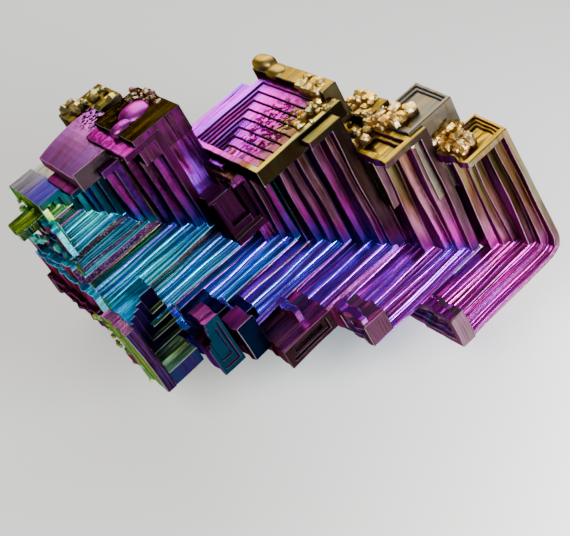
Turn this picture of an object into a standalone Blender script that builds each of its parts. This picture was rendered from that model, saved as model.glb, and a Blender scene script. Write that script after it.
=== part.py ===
"""Bismuth hopper crystal: one lab-grown skeletal crystal, resting on four of its own corners.

Bismuth grows as cubes whose edges race ahead of their faces.  Each face stays behind as a
stepped pit, a hopper.  This specimen is a chain of such cube corners, one behind the other
along a cube diagonal.  From each corner one arm runs up, one runs down to the left and one
runs back, and the terraces between the arms step down into the crystal.

Crystal frame: p runs along the rising arms, q along the falling arms, c out of the terraced
face.  The foremost corner is the origin.  Lengths in that frame count growth layers.
Everything is joined in the crystal frame, then turned into the world frame and cut level
where it touches the floor.
"""

import bmesh
import bpy
import numpy as np
from mathutils import Matrix, Vector

# ---------------------------------------------------------------- driving dimensions
LAYER = 0.08e-3            # metres; one growth layer, the unit of the crystal frame
UP = (0.925, -0.200, 0.323)        # the world's up direction, seen in the crystal frame
FRONT = (0.590, 0.247, 0.769)      # the side of the terraces, seen in the crystal frame
LOBE_DETAIL = 3            # how often the lumps' faces are halved
REST_HEIGHT = 100.0        # the foremost corner stands this many layers above the floor
FAR = 900.0                # further than the crystal reaches, for open-ended cutters
OVERLAP = 3.0              # how far neighbouring corners grow into each other
RIM = 7.0                  # wall left standing where a terrace pit ends
WALL_GROWTH = 1.3          # each deeper terrace leaves that much more wall
REAR_WALL_GROWTH = 1.7     # the same for the terraces at the back
FLANK_SHIFT = 0.6          # keeps the flank's rings off the planes of the underside's
LEAN_DEPTH = 120.0         # how far back from the front the lean of the rim dies out

COLOUR = (0.46, 0.30, 0.52, 1.0)
ROUGHNESS = 0.28
METALLIC = 1.0

# One cube corner after another: its place (p, q, c), how long its rising, falling and
# rearward arms are, how far back and up its crown stays whole, and its terraces, each of
# which takes a tread off p, a tread off q and then a drop.
CORNERS = [
    {"at": (0, 0, 0), "arms": (166, 150, 240), "crown": (48, 112),
     "terraces": [(7, 8, 8), (11, 10, 7), (6, 10, 14), (2, 9, 5), (2, 8, 5), (1, 10, 18)]},
    {"at": (36, 62, -45), "arms": (158, 150, 214), "crown": (62, 88),
     "terraces": [(5, 10, 8), (6, 10, 10), (5, 10, 12), (4, 12, 28)]},
    {"at": (70, 113, -91), "arms": (164, 138, 205), "crown": (66, 84),
     "terraces": [(8, 14, 9), (2, 6, 16), (3, 10, 18)]},
    {"at": (95, 150, -120), "arms": (128, 145, 190), "crown": (80, 80),
     "terraces": [(4, 9, 11), (3, 8, 10), (2, 7, 12), (2, 6, 12)]},
    {"at": (119, 184, -150), "arms": (104, 150, 186), "crown": (90, 70),
     "terraces": [(3, 7, 10), (3, 6, 10), (2, 7, 10), (2, 5, 10)]},
    {"at": (139, 213, -177), "arms": (62, 148, 182), "crown": (90, 60),
     "terraces": [(5, 7, 10), (3, 7, 12), (4, 7, 12)]},
    {"at": (163, 235, -198), "arms": (124, 144, 150), "crown": (86, 70),
     "terraces": [(4, 9, 12), (3, 9, 12), (3, 9, 13), (3, 8, 13)]},
    {"at": (187, 275, -233), "arms": (84, 100, 118), "crown": (60, 36),
     "terraces": [(9, 9, 6), (6, 9, 14)]},
    {"at": (207, 293, -253), "arms": (58, 70, 88), "crown": (60, 40),
     "terraces": [(4, 7, 10), (4, 7, 9), (4, 7, 9), (4, 6, 9), (4, 6, 9)]},
    {"at": (237, 326, -283), "arms": (24, 30, 85), "crown": (60, 20),
     "terraces": [(4, 7, 9), (4, 7, 9), (4, 7, 9)]},
]

# Single crystals grown onto the chain: lowest and highest corner in the crystal frame.
BLOCKS = {
    "second_tower": ((112, 17, -106), (197, 79, -51)),
    "second_saddle": ((120, 58, -140), (193, 112, -78)),
    "third_tower": ((150, 54, -150), (204, 84, -104)),
    "middle_tower": ((220, 98, -236), (238, 206, -106)),
    "middle_lip": ((205, 86, -246), (247, 104, -122)),
    "middle_core": ((120, 112, -268), (229, 212, -168)),
    "middle_ledge": ((148, 199, -240), (200, 238, -164)),
    "left_tower": ((150, 206, -282), (291, 237, -200)),
    "left_tower_cap": ((263, 205, -284), (293, 263, -199)),
    "far_left_face": ((262, 243, -340), (283, 318, -244)),
    "far_left_root": ((215, 232, -338), (250, 300, -270)),
    "far_left_back": ((215, 211, -384), (277, 267, -330)),
    "far_left_cube": ((218, 304, -378), (249, 332, -336)),
    "tip_one": ((-1, 134, -56), (38, 151, 1)),
    "tip_two": ((39, 186, -90), (66, 213, -43)),
    "finger_three": ((63, 223, -150), (86, 284, -74)),
    "finger_four": ((79, 284, -130), (124, 305, -101)),
    "finger_four_root": ((80, 270, -176), (112, 304, -126)),
    "finger_five": ((87, 309, -138), (150, 335, -106)),
    "finger_five_root": ((88, 290, -210), (128, 334, -134)),
    "finger_six_wall": ((105, 376, -176), (188, 387, -124)),
    "finger_six_foot": ((105, 340, -206), (122, 386, -125)),
    "finger_six_root": ((112, 330, -230), (168, 378, -158)),
    "left_foot": ((66, 300, -300), (150, 356, -240)),
    "middle_foot": ((-5, 146, -208), (60, 203, -152)),
    "rear_foot": ((62, 236, -337), (110, 297, -270)),
    "lower_left_arm": ((143, 330, -334), (168, 385, -213)),
    "left_tip": ((222, 345, -326), (246, 387, -292)),
}

# Smooth lumps where the last melt ran together: centre and half-widths.
LOBES = {
    "middle_lobe": ((247, 93, -236), (8, 10, 17)),
    "middle_lip_end": ((244, 96, -212), (6, 9, 16)),
    "cap_lump": ((290, 233, -246), (8, 17, 18)),
    "cap_ridge": ((291, 254, -238), (6, 13, 9)),
}

# Stepped pits in the faces that look down and to the back right: (inset, depth) of each
# ring, cut into the first corner.
UNDERSIDE_RINGS = [(13, 7), (25, 14), (38, 21), (52, 29)]
FLANK_RINGS = [(11, 8), (20, 17), (29, 27), (39, 36)]

# Terraces in the faces that look back: tread off p, tread off q, drop.
REAR_TERRACES = [(7, 9, 7), (7, 9, 8), (6, 10, 9), (6, 10, 10)]

# Stepped pits in single faces: the axis that the pit opens along (0 p, 1 q, 2 c), the face
# it is sunk into, and across that face the first ring's two ends, the steps inwards at
# each end, the drop of each ring, and the number of rings.
PITS = {
    "middle_tower_top": {"axis": 0, "face": 238, "low": (109, -226), "high": (199, -113),
                         "in_low": (10.5, 3.6), "in_high": (1, 2.5), "drop": 2, "rings": 8},
    "first_top": {"axis": 0, "face": 166, "low": (4, -44), "high": (62, -6),
                  "in_low": (3, 3), "in_high": (4, 3), "drop": 2.5, "rings": 3},
    "second_tower_top": {"axis": 0, "face": 197, "low": (21, -102), "high": (74, -56),
                         "in_low": (3, 4), "in_high": (4, 3), "drop": 2, "rings": 2},
    "second_top": {"axis": 0, "face": 194, "low": (86, -100), "high": (110, -52),
                   "in_low": (4, 8), "in_high": (4, 6), "drop": 4, "rings": 2},
    "ledge_pit": {"axis": 2, "face": -164, "low": (156, 203), "high": (200, 238),
                  "in_low": (8, 7), "in_high": (0, 7), "drop": 6, "rings": 2},
    "tip_one_end": {"axis": 1, "face": 151, "low": (6, -88), "high": (32, -6),
                    "in_low": (3, 8), "in_high": (3, 6), "drop": 4, "rings": 3},
    "tip_two_end": {"axis": 1, "face": 213, "low": (44, -86), "high": (62, -49),
                    "in_low": (3, 6), "in_high": (3, 5), "drop": 4, "rings": 2},
    "finger_three_face": {"axis": 2, "face": -74, "low": (68, 230), "high": (82, 277),
                          "in_low": (3, 6), "in_high": (3, 6), "drop": 4, "rings": 2},
    "finger_five_face": {"axis": 2, "face": -106, "low": (93, 313), "high": (143, 331),
                         "in_low": (7, 3), "in_high": (8, 3), "drop": 3, "rings": 2},
    "finger_six_face": {"axis": 2, "face": -158, "low": (124, 326), "high": (175, 370),
                        "in_low": (8, 0), "in_high": (0, 8), "drop": 7, "rings": 4},
    "left_end": {"axis": 1, "face": 372, "low": (192, -338), "high": (236, -262),
                 "in_low": (8, 12), "in_high": (6, 10), "drop": 6, "rings": 3},
    "lower_left_end": {"axis": 1, "face": 385, "low": (147, -326), "high": (164, -222),
                       "in_low": (3, 11), "in_high": (3, 11), "drop": 4, "rings": 2},
    "left_foot_end": {"axis": 1, "face": 356, "low": (84, -292), "high": (140, -248),
                      "in_low": (9, 6), "in_high": (9, 6), "drop": 5, "rings": 3},
}

# The rim of the first corner leans inwards as it rises: by how much at the top, and over
# what width the lean dies out.
LEAN = 13.0
LEAN_WIDTH = 60.0


# ---------------------------------------------------------------- making and joining boxes
def empty_scene():
    """Remove everything that Blender starts with."""
    for thing in list(bpy.data.objects):
        bpy.data.objects.remove(thing, do_unlink=True)


def new_collection(name):
    """A collection linked to the scene."""
    collection = bpy.data.collections.new(name)
    bpy.context.scene.collection.children.link(collection)
    return collection


def box(name, low, high, collection):
    """A box between two opposite corners, in the crystal frame."""
    low, high = Vector(low), Vector(high)
    mesh = bpy.data.meshes.new(name)
    shape = bmesh.new()
    place = Matrix.Translation((low + high) / 2) @ Matrix.Diagonal((*(high - low), 1.0))
    bmesh.ops.create_cube(shape, size=1.0, matrix=place)
    shape.to_mesh(mesh)
    shape.free()
    thing = bpy.data.objects.new(name, mesh)
    collection.objects.link(thing)
    return thing


def lobe(name, centre, half_widths, collection):
    """A smooth lump round a centre, in the crystal frame."""
    mesh = bpy.data.meshes.new(name)
    shape = bmesh.new()
    place = Matrix.Translation(centre) @ Matrix.Diagonal((*half_widths, 1.0))
    bmesh.ops.create_icosphere(shape, subdivisions=LOBE_DETAIL, radius=1.0, matrix=place)
    shape.to_mesh(mesh)
    shape.free()
    thing = bpy.data.objects.new(name, mesh)
    collection.objects.link(thing)
    return thing


def boolean(thing, operation, tools):
    """Apply one exact Boolean of a whole collection of tools, then remove the tools."""
    modifier = thing.modifiers.new(operation.lower(), "BOOLEAN")
    modifier.operation = operation
    modifier.solver = "EXACT"
    modifier.operand_type = "COLLECTION"
    modifier.collection = tools
    bpy.context.view_layer.update()
    settled = thing.evaluated_get(bpy.context.evaluated_depsgraph_get())
    mesh = bpy.data.meshes.new_from_object(settled)
    thing.modifiers.clear()
    thing.data = mesh
    for tool in list(tools.objects):
        bpy.data.objects.remove(tool, do_unlink=True)


# ---------------------------------------------------------------- one hopper corner
def terrace_cutters(corner, tools):
    """Nested pits: each starts one tread further in and goes one drop deeper."""
    p, q, c = corner["at"]
    top = c
    rising, falling, _ = corner["arms"]
    for count, (tread_p, tread_q, drop) in enumerate(corner["terraces"]):
        p, q, c = p + tread_p, q + tread_q, c - drop
        wall = RIM + WALL_GROWTH * count
        far_p = corner["at"][0] + rising - wall
        far_q = corner["at"][1] + falling - wall
        box(f"terrace_{count}", (p, q, c), (far_p, far_q, top + FAR), tools)


def crown_cutter(corner, tools):
    """Behind its front, a corner's rising arm ends lower than its crown."""
    p, _, c = corner["at"]
    back, height = corner["crown"]
    box("crown", (p + height, -FAR, -FAR), (FAR, FAR, c - back), tools)


def inner_cutter(following, tools):
    """Leave out what the next corner fills, apart from a little overlap."""
    p, q, _ = following["at"]
    box("inner", (p + OVERLAP, q + OVERLAP, -FAR), (FAR, FAR, FAR), tools)


def underside_cutters(corner, tools):
    """A stepped pit in the face that looks down: nested rectangular rings."""
    p, q, c = corner["at"]
    _, falling, rear = corner["arms"]
    for inset, depth in UNDERSIDE_RINGS:
        low = (p - FAR, q + inset, c - rear + inset)
        box("underside", low, (p + depth, q + falling - inset, c - inset), tools)


def flank_cutters(corner, tools):
    """A stepped pit in the face that looks to the back right."""
    p, q, c = corner["at"]
    height = corner["crown"][1]
    rear = corner["arms"][2]
    for inset, depth in FLANK_RINGS:
        low = (p + inset + FLANK_SHIFT, q - FAR, c - rear + inset + FLANK_SHIFT)
        high = (p + height - inset, q + depth, c - inset - FLANK_SHIFT)
        box("flank", low, high, tools)


def rear_cutters(corner, tools):
    """Nested pits in the face that looks back, like the terraces in front."""
    p, q, c = corner["at"]
    _, falling, rear = corner["arms"]
    far_p = p + corner["crown"][1] - RIM
    far_q = q + falling - RIM
    c -= rear
    for count, (tread_p, tread_q, drop) in enumerate(REAR_TERRACES):
        p, q, c = p + tread_p, q + tread_q, c + drop
        wall = REAR_WALL_GROWTH * count
        if p < far_p - wall:
            box(f"rear_{count}", (p, q, -FAR), (far_p - wall, far_q - wall, c), tools)


def pit_cutters(pit, tools):
    """Nested boxes that sink a stepped pit into one face."""
    axis = pit["axis"]
    across = [other for other in range(3) if other != axis]
    for count in range(pit["rings"]):
        low, high = [0.0] * 3, [0.0] * 3
        low[axis] = pit["face"] - pit["drop"] * (count + 1)
        high[axis] = FAR
        for side, other in enumerate(across):
            low[other] = pit["low"][side] + pit["in_low"][side] * count
            high[other] = pit["high"][side] - pit["in_high"][side] * count
        box(f"pit_{count}", low, high, tools)


def hopper_corner(number, parts, tools):
    """One cube corner with its three arms and the terraces between them."""
    corner = CORNERS[number]
    p, q, c = corner["at"]
    rising, falling, rear = corner["arms"]
    shape = box(f"corner_{number}", (p, q, c - rear), (p + rising, q + falling, c), parts)
    terrace_cutters(corner, tools)
    crown_cutter(corner, tools)
    rear_cutters(corner, tools)
    if number + 1 < len(CORNERS):
        inner_cutter(CORNERS[number + 1], tools)
    if number == 0:
        underside_cutters(corner, tools)
        flank_cutters(corner, tools)
    boolean(shape, "DIFFERENCE", tools)
    return shape


# ---------------------------------------------------------------- the whole crystal
def lean_rim(mesh):
    """Lean the first corner's outer rim inwards, most at its top."""
    rising = CORNERS[0]["arms"][0]
    points = np.empty(len(mesh.vertices) * 3, dtype=np.float32)
    mesh.vertices.foreach_get("co", points)
    points = points.reshape(-1, 3)
    height = np.clip(points[:, 0] / rising, 0.0, 1.0)
    nearness = np.clip(1.0 - points[:, 1] / LEAN_WIDTH, 0.0, 1.0)
    front = np.clip(1.0 + points[:, 2] / LEAN_DEPTH, 0.0, 1.0)
    points[:, 1] += LEAN * height * nearness * front
    mesh.vertices.foreach_set("co", points.ravel())


def triangulate(mesh):
    """Split every face into triangles, so that moved corners leave no bent face."""
    shape = bmesh.new()
    shape.from_mesh(mesh)
    bmesh.ops.triangulate(shape, faces=shape.faces)
    shape.to_mesh(mesh)
    shape.free()


def world_turn():
    """The turn from the crystal frame to a frame with +Z up and -Y towards the terraces."""
    up = Vector(UP).normalized()
    front = Vector(FRONT)
    back = -(front - front.dot(up) * up).normalized()
    right = back.cross(up)
    return Matrix((right, back, up)).to_4x4()


def material():
    """Bare bismuth under a thin violet oxide."""
    finish = bpy.data.materials.new("bismuth_oxide")
    finish.use_nodes = True
    shader = finish.node_tree.nodes["Principled BSDF"]
    shader.inputs["Base Color"].default_value = COLOUR
    shader.inputs["Roughness"].default_value = ROUGHNESS
    shader.inputs["Metallic"].default_value = METALLIC
    return finish


def build():
    """Grow the corners, join them and the single crystals, then set the piece on the floor."""
    empty_scene()
    specimen = new_collection("bismuth_hopper_crystal")
    parts = new_collection("grown_together")
    tools = new_collection("cutters")

    crystal = hopper_corner(0, specimen, tools)
    for number in range(1, len(CORNERS)):
        hopper_corner(number, parts, tools)
    for name, (low, high) in BLOCKS.items():
        box(name, low, high, parts)
    for name, (centre, half_widths) in LOBES.items():
        lobe(name, centre, half_widths, parts)
    boolean(crystal, "UNION", parts)
    for pit in PITS.values():
        pit_cutters(pit, tools)
    boolean(crystal, "DIFFERENCE", tools)

    triangulate(crystal.data)
    lean_rim(crystal.data)
    turn = world_turn()
    crystal.data.transform(Matrix.Translation((0.0, 0.0, REST_HEIGHT)) @ turn)
    box("below_the_floor", (-FAR, -FAR, -FAR), (FAR, FAR, 0.0), tools)
    boolean(crystal, "DIFFERENCE", tools)

    corners = np.array([vertex.co for vertex in crystal.data.vertices])
    middle = (corners.min(axis=0) + corners.max(axis=0)) / 2
    crystal.data.transform(Matrix.Translation((-middle[0], -middle[1], 0.0)))
    crystal.data.transform(Matrix.Scale(LAYER, 4))
    crystal.data.materials.clear()
    crystal.data.materials.append(material())
    crystal.name = "bismuth_crystal"
    crystal.data.name = "bismuth_crystal"


build()
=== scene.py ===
# %% [markdown]
# # A bismuth hopper crystal
# Bismuth that cools slowly from the melt grows as little cubes whose edges run ahead of their
# faces.  Each face is left behind as a flight of steps, called a hopper.  Air then grows a
# thin film of oxide on the metal, and the film's thickness decides its colour, as with oil
# on water.  This lesson builds one such crystal: first its form, then its film, then the
# light.

import bpy
import numpy as np
from mathutils import Matrix, Vector


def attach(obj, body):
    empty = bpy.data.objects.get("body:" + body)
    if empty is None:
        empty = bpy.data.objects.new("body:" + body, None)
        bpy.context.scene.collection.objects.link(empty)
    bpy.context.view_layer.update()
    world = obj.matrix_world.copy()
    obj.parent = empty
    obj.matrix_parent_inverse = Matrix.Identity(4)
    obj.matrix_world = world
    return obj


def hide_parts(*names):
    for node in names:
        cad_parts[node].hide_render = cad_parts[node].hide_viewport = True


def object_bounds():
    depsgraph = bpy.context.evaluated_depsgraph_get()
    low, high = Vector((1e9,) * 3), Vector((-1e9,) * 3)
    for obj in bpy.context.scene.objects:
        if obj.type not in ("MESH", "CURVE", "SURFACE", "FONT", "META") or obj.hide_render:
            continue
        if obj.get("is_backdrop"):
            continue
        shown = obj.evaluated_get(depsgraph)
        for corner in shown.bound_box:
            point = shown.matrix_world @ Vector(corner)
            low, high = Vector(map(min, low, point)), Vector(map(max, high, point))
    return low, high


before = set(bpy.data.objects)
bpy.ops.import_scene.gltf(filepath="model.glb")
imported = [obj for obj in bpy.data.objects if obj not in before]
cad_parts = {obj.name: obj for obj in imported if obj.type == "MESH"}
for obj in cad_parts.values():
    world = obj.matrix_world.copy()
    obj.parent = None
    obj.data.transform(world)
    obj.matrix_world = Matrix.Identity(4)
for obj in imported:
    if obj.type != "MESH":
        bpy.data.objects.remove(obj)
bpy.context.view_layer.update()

# %% [markdown]
# ## The crystal frame
# Every face of a cubic crystal looks along one of three axes, so all of it is described in a
# frame of its own: p runs along the rising arms, q along the arms that fall to the left and
# c out of the terraced face.  A length of one is one growth layer.  In this frame each step is
# a plain box.  Only at the very end is the whole thing turned to how it lies on the table.

# %% The unit and the three axes
LAYER = 0.08e-3                # metres in one growth layer
UP = (0.925, -0.200, 0.323)    # the table's upward direction, in the crystal frame
FRONT = (0.590, 0.247, 0.769)  # the direction of the table's front
REST_HEIGHT = 100.0            # how high the frame's origin, the first corner, is over the table

up = Vector(UP).normalized()
back = -(Vector(FRONT) - Vector(FRONT).dot(up) * up).normalized()
right = back.cross(up)
TURN = Matrix((right, back, up))
print("crystal's p axis in the world:", [round(x, 3) for x in TURN @ Vector((1, 0, 0))])

# %% [markdown]
# ## The corners and the crystals on them
# The specimen is a chain of cube corners, one behind the other along a diagonal.  Each row
# gives a corner's place, the lengths of its rising, falling and rearward arms, how far back
# and how high its crown stays whole, and its terraces: a tread off p, a tread off q and a
# drop.  Single crystals that grew onto the chain are given by two opposite corners.

# %% The chain of hopper corners
CORNERS = [
    ((0, 0, 0), (166, 150, 240), (48, 112),
     [(7, 8, 8), (11, 10, 7), (6, 10, 14), (2, 9, 5), (2, 8, 5), (1, 10, 18)]),
    ((36, 62, -45), (158, 150, 214), (62, 88), [(5, 10, 8), (6, 10, 10), (5, 10, 12), (4, 12, 28)]),
    ((70, 113, -91), (164, 138, 205), (66, 84), [(8, 14, 9), (2, 6, 16), (3, 10, 18)]),
    ((95, 150, -120), (128, 145, 190), (80, 80), [(4, 9, 11), (3, 8, 10), (2, 7, 12), (2, 6, 12)]),
    ((119, 184, -150), (104, 150, 186), (90, 70), [(3, 7, 10), (3, 6, 10), (2, 7, 10), (2, 5, 10)]),
    ((139, 213, -177), (62, 148, 182), (90, 60), [(5, 7, 10), (3, 7, 12), (4, 7, 12)]),
    ((163, 235, -198), (124, 144, 150), (86, 70), [(4, 9, 12), (3, 9, 12), (3, 9, 13), (3, 8, 13)]),
    ((187, 275, -233), (84, 100, 118), (60, 36), [(9, 9, 6), (6, 9, 14)]),
    ((207, 293, -253), (58, 70, 88), (60, 40), [(4, 7, 10), (4, 7, 9), (4, 7, 9), (4, 6, 9), (4, 6, 9)]),
    ((237, 326, -283), (24, 30, 85), (60, 20), [(4, 7, 9), (4, 7, 9), (4, 7, 9)]),
]

# %% The single crystals
CRYSTALS = {
    "second_tower": ((112, 17, -106), (197, 79, -51)),
    "second_saddle": ((120, 58, -140), (193, 112, -78)),
    "third_tower": ((150, 54, -150), (204, 84, -104)),
    "middle_tower": ((220, 98, -236), (238, 206, -106)),
    "middle_lip": ((205, 86, -246), (247, 104, -122)),
    "middle_core": ((120, 112, -268), (229, 212, -168)),
    "middle_ledge": ((148, 199, -240), (200, 238, -164)),
    "left_tower": ((150, 206, -282), (291, 237, -200)),
    "left_tower_cap": ((263, 205, -284), (293, 263, -199)),
    "far_left_face": ((262, 243, -340), (283, 318, -244)),
    "far_left_root": ((215, 232, -338), (250, 300, -270)),
    "far_left_back": ((215, 211, -384), (277, 267, -330)),
    "far_left_cube": ((218, 304, -378), (249, 332, -336)),
    "tip_one": ((-1, 134, -56), (38, 151, 1)),
    "tip_two": ((39, 186, -90), (66, 213, -43)),
    "finger_three": ((63, 223, -150), (86, 284, -74)),
    "finger_four": ((79, 284, -130), (124, 305, -101)),
    "finger_four_root": ((80, 270, -176), (112, 304, -126)),
    "finger_five": ((87, 309, -138), (150, 335, -106)),
    "finger_five_root": ((88, 290, -210), (128, 334, -134)),
    "finger_six_wall": ((105, 376, -176), (188, 387, -124)),
    "finger_six_foot": ((105, 340, -206), (122, 386, -125)),
    "finger_six_root": ((112, 330, -230), (168, 378, -158)),
    "left_foot": ((66, 300, -300), (150, 356, -240)),
    "middle_foot": ((-5, 146, -208), (60, 203, -152)),
    "rear_foot": ((62, 236, -337), (110, 297, -270)),
    "lower_left_arm": ((143, 330, -334), (168, 385, -213)),
    "left_tip": ((222, 345, -326), (246, 387, -292)),
}
FIRST_CRYSTAL = len(CORNERS) + 1
crystal_owner = {name: FIRST_CRYSTAL + number for number, name in enumerate(CRYSTALS)}
print(len(CORNERS), "corners and", len(CRYSTALS), "single crystals")

# %% [markdown]
# ## The stepped pits
# The towers' tops, the arms' ends and the fingers' faces have hoppers of their own.  Each
# row gives the axis that the pit opens along, the face that it is sunk into, the first
# ring's two ends across that face, the steps inwards at each end, the drop of each ring and
# the number of rings.

# %% Pits in single faces
PITS = {
    "middle_tower_top": (0, 238, (109, -226), (199, -113), (10.5, 3.6), (1, 2.5), 2, 8),
    "first_top": (0, 166, (4, -44), (62, -6), (3, 3), (4, 3), 2.5, 3),
    "second_tower_top": (0, 197, (21, -102), (74, -56), (3, 4), (4, 3), 2, 2),
    "second_top": (0, 194, (86, -100), (110, -52), (4, 8), (4, 6), 4, 2),
    "ledge_pit": (2, -164, (156, 203), (200, 238), (8, 7), (0, 7), 6, 2),
    "tip_one_end": (1, 151, (6, -88), (32, -6), (3, 8), (3, 6), 4, 3),
    "tip_two_end": (1, 213, (44, -86), (62, -49), (3, 6), (3, 5), 4, 2),
    "finger_three_face": (2, -74, (68, 230), (82, 277), (3, 6), (3, 6), 4, 2),
    "finger_five_face": (2, -106, (93, 313), (143, 331), (7, 3), (8, 3), 3, 2),
    "finger_six_face": (2, -158, (124, 326), (175, 370), (8, 0), (0, 8), 7, 4),
    "left_end": (1, 372, (192, -338), (236, -262), (8, 12), (6, 10), 6, 3),
    "lower_left_end": (1, 385, (147, -326), (164, -222), (3, 11), (3, 11), 4, 2),
    "left_foot_end": (1, 356, (84, -292), (140, -248), (9, 6), (9, 6), 5, 3),
}
UNDERSIDE_RINGS = [(13, 7), (25, 14), (38, 21), (52, 29)]  # inset from the edges, and depth
FLANK_RINGS = [(11, 8), (20, 17), (29, 27), (39, 36)]
REAR_TERRACES = [(7, 9, 7), (7, 9, 8), (6, 10, 9), (6, 10, 10)]
RIM = 7.0               # thickness of a hopper's outermost wall
WALL_GROWTH = 1.3       # how much thicker the wall gets with each terrace
REAR_WALL_GROWTH = 1.7  # the same for the terraces that look back
FLANK_SHIFT = 0.6       # keeps the flank's rings off the planes of the underside's
OVERLAP = 3.0           # how far a corner of the chain reaches into the next one
print(len(PITS), "pits in single faces")

# %% [markdown]
# ## Crumbs and molten lumps
# Where the last liquid metal ran off, it left golden crumbs on the tops and a few smooth
# lobes.  Each patch is a rule: a box to scatter in, how many, and how large.  The numbers
# come from a generator with a fixed seed, so the crystal is the same every time.

# %% Scattered crumbs, as centres and half-widths
CRUMBS = {
    # patch: (low corner, high corner, how many, smallest, largest half-width, film)
    "first_crown": ((163, 30, -46), (168, 58, -16), 34, 3.0, 7.0, 0.15),
    "first_back": ((164, 20, -56), (176, 60, -46), 16, 3.0, 6.0, 0.17),
    "second_tower_top": ((194, 50, -106), (200, 78, -74), 22, 3.0, 7.5, 0.16),
    "second_tower_foot": ((168, 60, -60), (182, 84, -44), 8, 3.0, 5.0, 0.15),
    "saddle": ((190, 56, -142), (199, 110, -84), 50, 2.5, 6.5, 0.16),
    "third_tower_top": ((201, 56, -148), (207, 84, -106), 20, 2.5, 6.0, 0.17),
    "middle_right_end": ((234, 100, -136), (240, 150, -110), 26, 2.0, 5.0, 0.20),
    "middle_lip": ((242, 88, -168), (247, 104, -126), 14, 3.5, 8.0, 0.21),
    "cap_back": ((290, 206, -282), (296, 226, -225), 16, 2.5, 5.5, 0.34),
    "behind_face": ((276, 214, -382), (281, 262, -336), 14, 3.0, 7.0, 0.24),
    "face_rim": ((262, 250, -346), (272, 318, -336), 26, 2.0, 4.5, 0.10),
    "left_end": ((238, 330, -368), (258, 362, -300), 30, 1.8, 4.0, 1.00),
    "left_tip": ((196, 352, -345), (240, 374, -280), 24, 2.0, 4.5, 0.90),
    "left_crust": ((100, 383, -216), (180, 387, -140), 26, 1.0, 2.8, 0.98),
}
LOBES = {
    # lobe: (centre, half-widths)
    "middle_lobe": ((247, 93, -236), (8, 10, 17)),
    "middle_lip_end": ((244, 96, -212), (6, 9, 16)),
    "cap_lump": ((290, 233, -246), (8, 17, 18)),
    "cap_ridge": ((291, 254, -238), (6, 13, 9)),
}
SQUASH = (0.7, 1.2)    # a crumb's three half-widths differ by shares between these
FILM_SPREAD = 0.04     # how much the crumbs of a patch differ in film

rng = np.random.default_rng(83)
centres, sizes, crumb_films = [], [], []
for low, high, many, small, large, film in CRUMBS.values():
    centres.append(rng.uniform(low, high, (many, 3)))
    sizes.append(rng.uniform(small, large, (many, 1)) * rng.uniform(*SQUASH, (many, 3)))
    crumb_films.append(film + rng.uniform(-FILM_SPREAD, FILM_SPREAD, many))
crumbs = np.concatenate(centres), np.concatenate(sizes)
crumb_films = np.concatenate(crumb_films)
lobes = tuple(np.array(column, dtype=float) for column in zip(*LOBES.values()))
print(len(crumbs[0]), "crumbs and", len(lobes[0]), "lobes")

# %% [markdown]
# ## A block of cells
# Booleans could cut the steps out, but they are slow and fragile by the hundred.  Here every
# crystal is a block of little cells, each one full or empty.  The cells are not all the same
# size: the planes between them lie exactly where a form has its faces, with one more plane just
# beside each, so that an edge gets a narrow strip of its own.  A form with dozens of steps is
# then only a few slices of one array.

# %% Planes between the cells
STRIP = 0.8               # width of the strip along an edge
CLOSEST = 0.3             # planes nearer to each other than this count as one
WIDEST = (9.0, 9.0, 6.0)  # the widest cell along p, q and c


def thinned(places):
    """Sorted places, without repeats and without any closer than CLOSEST to the one before."""
    kept = np.unique(np.round(places, 3))
    return kept[np.append(True, np.diff(kept) > CLOSEST)]


def planes(exact, widest):
    """Sorted planes: the exact ones, one STRIP either side of each, gaps filled to widest."""
    kept = thinned(exact)
    beside = np.concatenate([kept - STRIP, kept + STRIP])
    beside = beside[(beside > kept[0]) & (beside < kept[-1])]
    # nearly a full STRIP, because the places are rounded
    clear = np.abs(beside[:, None] - kept[None, :]).min(axis=1) >= 0.98 * STRIP
    kept = thinned(np.concatenate([kept, beside[clear]]))
    gaps = np.diff(kept)
    parts = np.maximum(np.ceil(gaps / widest).astype(int), 1)
    filled = [kept[i] + gaps[i] * np.arange(parts[i]) / parts[i] for i in range(len(gaps))]
    return np.append(np.concatenate(filled), kept[-1])


print("planes for a face 10 wide:", planes([0, 10], 9.0).round(2))

# %% [markdown]
# ## Growth layers on the risers
# Seen close up, the wall below each tread isn't one flat face but a stack of thin layers,
# each a little further back than the one below.  So each terrace is cut in several goes,
# and every go moves in by a narrow ledge.

# %% The terraces of a corner
LEDGE = 1.0             # width of one ledge
MOST_LEDGES = 3         # in one terrace
LEDGE_DROP = 3          # a ledge is at least this high
LEDGE_TREAD = 2         # each ledge needs this much of the tread off q
MOST_TREAD = 9          # a wider tread off q counts as this wide
TREAD_LEFT = 2.0        # the ledges leave this much of the tread off p
FAR = 900.0             # past everything


def terrace_cuts(corner):
    """The nested pits of one corner.  The last ledge of a terrace has the terrace's own width,
    and each one above it starts a LEDGE earlier along p."""
    (p, q, c), (rising, falling, _), _, terraces = corner
    cuts = []
    top = c + FAR
    far_p, far_q = p + rising, q + falling
    for count, (tread_p, tread_q, drop) in enumerate(terraces):
        p, q = p + tread_p, q + tread_q
        wall = RIM + WALL_GROWTH * count
        ledges = min(MOST_LEDGES, drop // LEDGE_DROP, min(tread_q, MOST_TREAD) // LEDGE_TREAD)
        for ledge in range(ledges):
            side = min((ledges - 1 - ledge) * LEDGE, max(tread_p - TREAD_LEFT, 0.0))
            low = (p - side, q, c - drop * (ledge + 1) / ledges)
            cuts.append((low, (far_p - wall, far_q - wall, top)))
        c -= drop
    return cuts


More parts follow.
